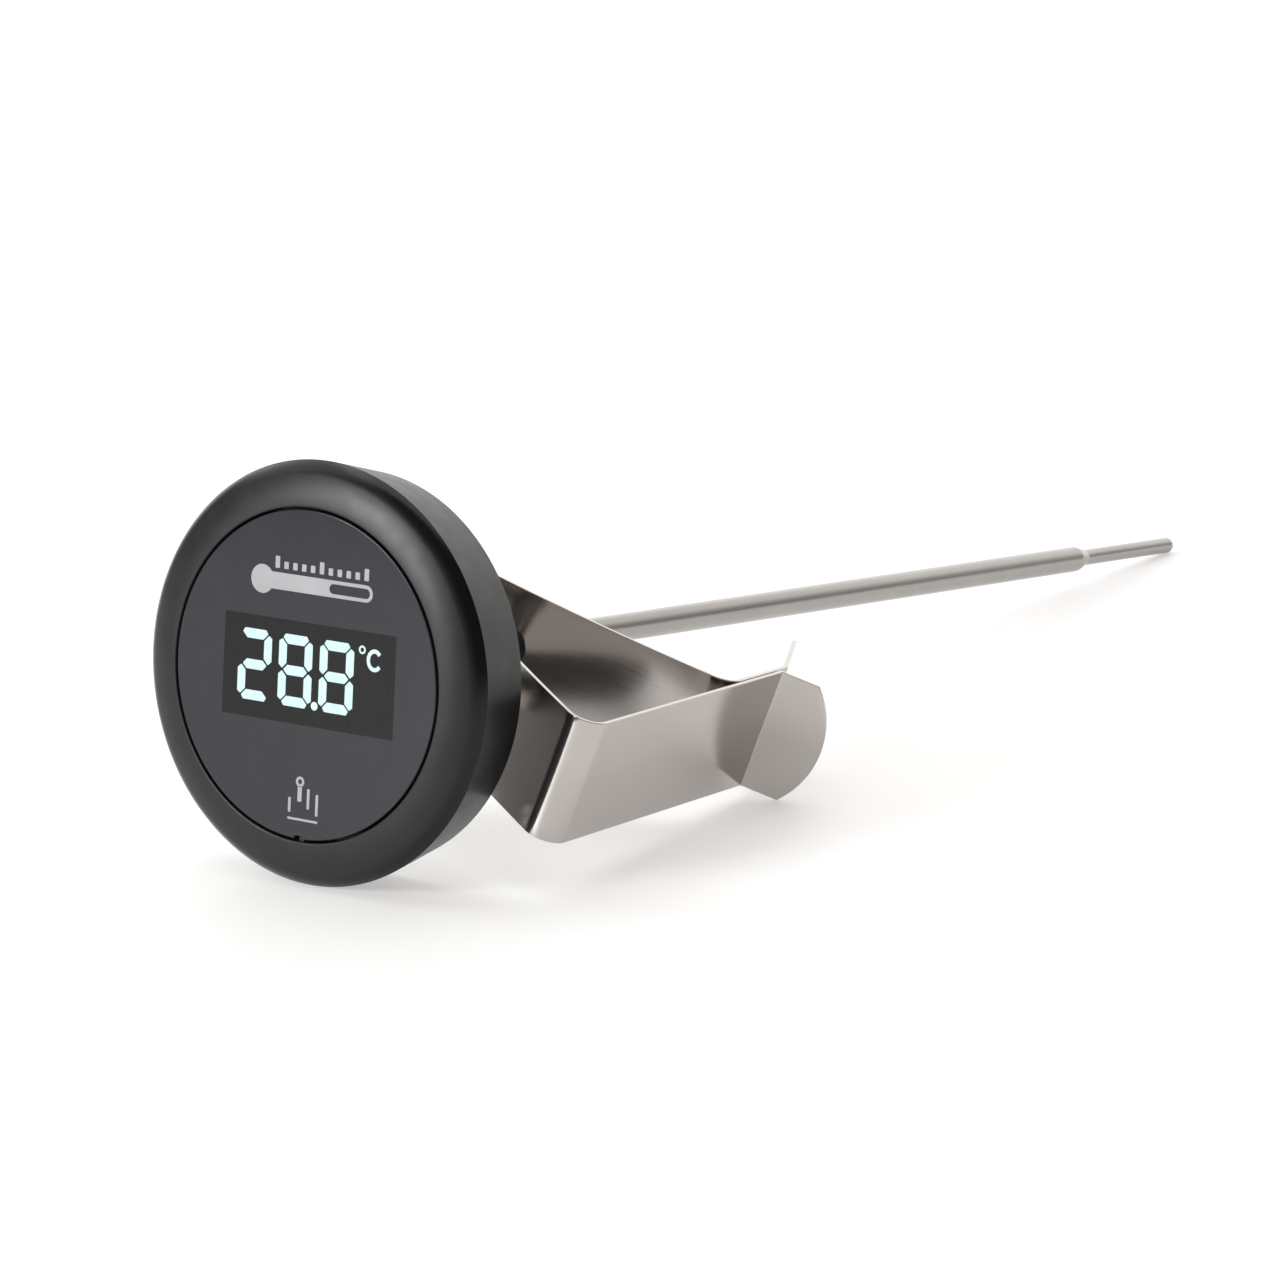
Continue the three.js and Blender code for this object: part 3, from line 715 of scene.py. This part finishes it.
piece("housing_look", housing(), HEAD_PLASTIC, stands_for=["bezel_housing"])
piece("dial_face_look", face_plate(), DIAL_FACE, stands_for=["face_plate"])
piece("display_window_look", display_window(), WINDOW)
piece("display_digits_look", display_digits(), SEGMENTS_LIT)
piece("dial_marks_look", dial_marks(), PRINT)
piece("touch_mark_look", touch_mark(), PRINT)
piece("rear_cover_look", rear_cover(), HEAD_PLASTIC, stands_for=["rear_cover"])
piece(
    "battery_cap_look", battery_cap(), CAP_PLASTIC, "battery_cap",
    stands_for=["battery_cap"],
)
for number, degrees in enumerate(SCREW_ANGLES, 1):
    name = f"cover_screw_{number}"
    piece(name + "_look", cover_screw(degrees), TURNED_STEEL, stands_for=[name])

# ---------------------------------------------------------------- stem


def stem():
    """The drawn tube, swaged down to its thinner tip, which ends in a half round nose."""
    nose = []
    for degrees in range(0, 90, 9):
        out, along = on_circle(TIP_RADIUS, degrees)
        nose.append((out, TIP_END - TIP_RADIUS + along))
    outside = rounded([
        (STEM_BORE, STEM_START),
        (STEM_RADIUS, STEM_START, 0.08),
        (STEM_RADIUS, STEP_START, 2.0),
        (TIP_RADIUS, STEP_END, 2.0),
        nose[0],
    ], closed=False, steps=8)
    inside = [
        (0, TIP_END),
        (0, TIP_END - 1),
        (TIP_BORE, TIP_END - 1.6),
        (TIP_BORE, STEP_END),
        (STEM_BORE, STEP_START),
    ]
    return turned([*outside, *nose[1:], *inside], 96)


def collar():
    """The flanged collar behind the head that holds the stem."""
    bore, neck, flange = 1.95, 2.55, 3.4
    return turned(rounded([
        (bore, 7.4), (neck, 7.4), (neck, 11.6), (flange, 11.6, 0.15), (flange, 12.6, 0.35),
        (neck, 15, 0.2), (bore, 15, 0.12),
    ]), 128)


piece("stem_look", stem(), STEM_STEEL, stands_for=["stem_tube"])
piece("collar_look", collar(), TURNED_STEEL, stands_for=["stem_collar"])

# ---------------------------------------------------------------- clip


def left_of(direction):
    return Vector((-direction.y, direction.x))


def meeting(a, u, b, v):
    """Where the line from a along u meets the line from b along v."""
    return a + u * ((b - a).cross(v) / u.cross(v))


def bend(before, corner, after, radius):
    """Samples (point, normal, lean) of the strip's middle line round a corner."""
    into = (corner - before).normalized()
    out = (after - corner).normalized()
    turn = math.atan2(into.cross(out), into.dot(out))
    side = math.copysign(1, turn)
    centre = corner - into * radius * math.tan(abs(turn) / 2) + left_of(into) * radius * side
    steps = max(6, math.ceil(math.degrees(abs(turn)) / 4))
    samples = []
    for step in range(steps + 1):
        normal = Matrix.Rotation(turn * step / steps, 2) @ left_of(into)
        samples.append((centre - normal * radius * side, normal, 0))
    return samples


def bowed(start, end, rise, lean, steps=16):
    """Samples of a panel between two samples, with a rise and a slope across it at its middle."""
    along = end[0] - start[0]
    side = left_of(along.normalized())
    samples = []
    for step in range(1, steps):
        t = step / steps
        swell = 4 * t * (1 - t)
        slope = along + side * rise * 4 * (1 - 2 * t)
        point = start[0] + (along * t) + side * rise * swell
        samples.append((point, left_of(slope.normalized()), lean * swell))
    return samples


def strip_section(half_width, steps=3, panels=12):
    """The strip's cross-section as (offset along the normal, offset across) with rounded edges."""
    half = STRIP_THICKNESS / 2
    edge = min(STRIP_EDGE, half_width * 0.9)
    section = []
    for corner, (up, across) in enumerate([(1, 1), (-1, 1), (-1, -1), (1, -1)]):
        for step in range(steps + 1):
            angle = -math.pi / 2 * (corner + step / steps)
            a = up * (half - edge) + edge * math.cos(angle)
            section.append((a, across * (half_width - edge) - edge * math.sin(angle)))
        if up != across:
            flat_end = across * (half_width - edge)
            section += [(up * half, flat_end * (1 - 2 * panel / panels)) for panel in range(1, panels)]
    return section


def swept(samples, lip=None):
    """A strip swept along its samples. lip is (chord point, direction) of a rounded end beyond them."""
    stations = [(point, normal, STRIP_WIDTH / 2, lean) for point, normal, lean in samples]
    if lip:
        chord, direction = lip
        normal = left_of(direction)
        start = math.asin(STRIP_WIDTH / 2 / LIP_ROUND)
        foot = chord - direction * LIP_ROUND * math.cos(start)
        steps = 24
        for step in range(steps + 1):
            angle = start * (1 - step / steps)
            width = max(LIP_ROUND * math.sin(angle), 0.02)
            stations.append((foot + direction * LIP_ROUND * math.cos(angle), normal, width, 0))
    bm = bmesh.new()
    layer = bm.loops.layers.uv.new("strip")
    rings, travelled, last = [], 0.0, None
    for point, normal, width, lean in stations:
        travelled += (point - last).length if last is not None else 0
        last = point
        ring = []
        for up, across in strip_section(width):
            place = point + normal * (up - across * lean)
            ring.append((bm.verts.new((place.x, place.y, across)), travelled * MM, (across + up) * MM))
        rings.append(ring)
    for ring, after in zip(rings, rings[1:]):
        for i in range(len(ring)):
            j = (i + 1) % len(ring)
            corners = [ring[i], ring[j], after[j], after[i]]
            face = bm.faces.new([corner[0] for corner in corners])
            for loop, corner in zip(face.loops, corners):
                loop[layer].uv = corner[1:]
    for ring in (rings[0], rings[-1]):
        face = bm.faces.new([corner[0] for corner in ring])
        for loop, corner in zip(face.loops, ring):
            loop[layer].uv = corner[1:]
    return mesh_of(bm, "strip")


def stem_hole(radius, at):
    """A round cutter along the stem's axis."""
    hole = disc(radius, at - 5, at + 5, 96)
    hole.transform(Matrix.Rotation(-math.pi / 2, 4, "Y"))
    return hole


leg_direction = (LEG_END - HEEL).normalized()
diagonal_direction = (DIAGONAL - SPRING).normalized()
lip_direction = (LIP_CHORD - LEG_END).normalized()
inset = left_of(leg_direction) * -(STRIP_THICKNESS + JAW_GAP)
jaw_start = meeting(SPRING, diagonal_direction, HEEL + inset, leg_direction)
jaw_end = LEG_END + inset + leg_direction * JAW_OVERHANG
inner_lip_direction = (INNER_LIP_CHORD - jaw_end).normalized()
AXIS = Vector((1, 0))
base_crossing = meeting(Vector((0, 0)), AXIS, SPRING, (HEEL - SPRING).normalized()).x
diagonal_crossing = meeting(Vector((0, 0)), AXIS, SPRING, diagonal_direction).x


def clip_strip():
    heel_start = bend(LEG_END, HEEL, SPRING, HEEL_BEND)[-1]
    spring = bend(HEEL, SPRING, jaw_start, SPRING_BEND)
    jaw = bend(SPRING, jaw_start, jaw_end, JAW_BEND)
    samples = [heel_start, *bowed(heel_start, spring[0], -BASE_BOW, 0), *spring]
    samples += [*bowed(spring[-1], jaw[0], 0, DIAGONAL_LEAN), *jaw]
    samples += bend(jaw_start, jaw_end, INNER_LIP_CHORD, LIP_BEND)
    solid = swept(samples, (INNER_LIP_CHORD, inner_lip_direction))
    return cut(solid, [stem_hole(PANEL_HOLE, base_crossing), stem_hole(BUSH_HOLE, diagonal_crossing)])


def clip_leg():
    samples = bend(SPRING, HEEL, LEG_END, HEEL_BEND)
    samples += bend(HEEL, LEG_END, LIP_CHORD, LIP_BEND)
    return swept(samples, (LIP_CHORD, lip_direction))


def heel_ends():
    """Where the heel's bend starts and ends."""
    samples = bend(SPRING, HEEL, LEG_END, HEEL_BEND)
    return samples[0][0], samples[-1][0]


def grip_bush():
    """The flanged bush that grips the stem in the diagonal panel's hole."""
    front = diagonal_crossing - 0.9
    flange = diagonal_crossing + 1.6
    back = diagonal_crossing + 2.2
    return turned(rounded([
        (BUSH_BORE, front, 0.06), (BUSH_HUB, front, 0.1), (BUSH_HUB, flange),
        (BUSH_FLANGE, flange, 0.12), (BUSH_FLANGE, back, 0.2), (BUSH_BORE, back, 0.06),
    ]), 96)


piece(
    "clip_strip_look", clip_strip(), CLIP_STEEL, "clip_strip", CLIP_FRAME,
    stands_for=["clip_strip"],
)
piece(
    "clip_leg_look", clip_leg(), CLIP_STEEL, "clip_leg", CLIP_FRAME,
    stands_for=["clip_outer_leg"],
    across=[CLIP_FRAME @ (point.to_3d() * MM) for point in heel_ends()],
)
piece("grip_bush_look", grip_bush(), RUBBER, "clip_bush", stands_for=["stem_grip_bush"])

# ---------------------------------------------------------------- pieces kept from the CAD

NODE_MATERIALS = {
    "adhesive": ADHESIVE,
    "display_body": WHITE_PLASTIC,
    "rubber": RUBBER,
    "board": BOARD,
    "chip": CHIP,
    "head_plastic": HEAD_PLASTIC,
    "dial_face": DIAL_FACE,
    "cell_steel": CELL_STEEL,
    "contact_metal": GOLD,
    "screw_steel": TURNED_STEEL,
    "stem_steel": STEM_STEEL,
    "clip_steel": CLIP_STEEL,
    "lead_insulation": RED_LEAD,
    "epoxy": BEAD,
}
for subpart in frame["record"]["subparts"]:
    node = frame["nodes"][subpart["node"]]
    for slot in node.material_slots:
        slot.link = "OBJECT"
        slot.material = NODE_MATERIALS[subpart["material_slot"]]

# ---------------------------------------------------------------- table, light and camera


TABLE_GLOW = (1, 0.985, 0.965, 1)
ROOM_COLOUR = (0.2, 0.195, 0.19, 1)
BACKDROP_COLOUR = (1.5, 1.48, 1.45, 1)
CAMERA_PLACE = Vector((380.81, -559.1, 178.16))
CAMERA_TURN = (75.968, 1.281, 35.77)
CAMERA_LENS = 150


def table_top():
    """The pale table. It glows a little, as a table that the whole room lights does."""
    look = Look("pale_table", Roughness=0.55, Emission_Color=TABLE_GLOW, Emission_Strength=0.45)
    look.feed("Base Color", look.ramp(look.noise(even(6), 3), (0.59, 0.59, 0.59), (0.61, 0.61, 0.61)))
    look.feed("Normal", look.bump(look.noise(even(900), 2), 2e-6))
    bm = bmesh.new()
    bmesh.ops.create_grid(bm, x_segments=8, y_segments=8, size=4.0)
    mesh = mesh_of(bm, "table")
    mesh.materials.append(look.material)
    return object_of("table", mesh, Matrix())


def softbox(name, place, aim, width, height, power):
    light = bpy.data.lights.new(name, "AREA")
    light.shape = "RECTANGLE"
    light.size = width
    light.size_y = height
    light.energy = power
    obj = bpy.data.objects.new(name, light)
    obj.location = place
    obj.rotation_euler = (Vector(aim) - Vector(place)).to_track_quat("-Z", "Y").to_euler()
    bpy.context.collection.objects.link(obj)


def surroundings():
    """A dim room with a pale backdrop low down behind the table, which fades out to the right."""
    world = bpy.data.worlds.new("studio")
    world.use_nodes = True
    tree = world.node_tree
    direction = node_in(tree, "TexCoord").outputs["Generated"]
    parts = node_in(tree, "SeparateXYZ", {"Vector": direction}).outputs

    def fade(value, start, end):
        inputs = {"Value": value, "From Min": start, "From Max": end}
        return node_in(tree, "MapRange", inputs, interpolation_type="SMOOTHSTEP").outputs["Result"]

    backdrop = fade(parts["Y"], 0.0, 0.6)
    for limit in (fade(parts["Z"], 0.66, 0.42), fade(parts["X"], 0.62, 0.1)):
        backdrop = node_in(tree, "Math", {0: backdrop, 1: limit}, operation="MULTIPLY").outputs[0]
    colours = {"Fac": backdrop, "Color1": ROOM_COLOUR, "Color2": BACKDROP_COLOUR}
    mixed = node_in(tree, "MixRGB", colours).outputs["Color"]
    tree.links.new(mixed, tree.nodes["Background"].inputs["Color"])
    return world


def studio():
    table_top()
    bpy.context.scene.world = surroundings()
    aim = (0.0, -0.06, 0.02)
    softbox("overhead", (-0.1, 0.35, 1.25), aim, width=1.4, height=1.4, power=9.0)
    softbox("left", (-0.9, -0.1, 1.05), aim, width=1.2, height=1.2, power=5.0)
    softbox("front", (-0.5, -1.1, 0.42), aim, width=0.4, height=0.42, power=11.5)


def camera():
    data = bpy.data.cameras.new("camera")
    data.lens = CAMERA_LENS
    data.sensor_width = 36
    data.clip_start = 0.05
    data.clip_end = 20
    obj = bpy.data.objects.new("camera", data)
    obj.location = CAMERA_PLACE * MM
    obj.rotation_euler = Euler([math.radians(angle) for angle in CAMERA_TURN])
    bpy.context.collection.objects.link(obj)
    bpy.context.scene.camera = obj


studio()
camera()
bpy.context.scene.view_settings.view_transform = "Standard"
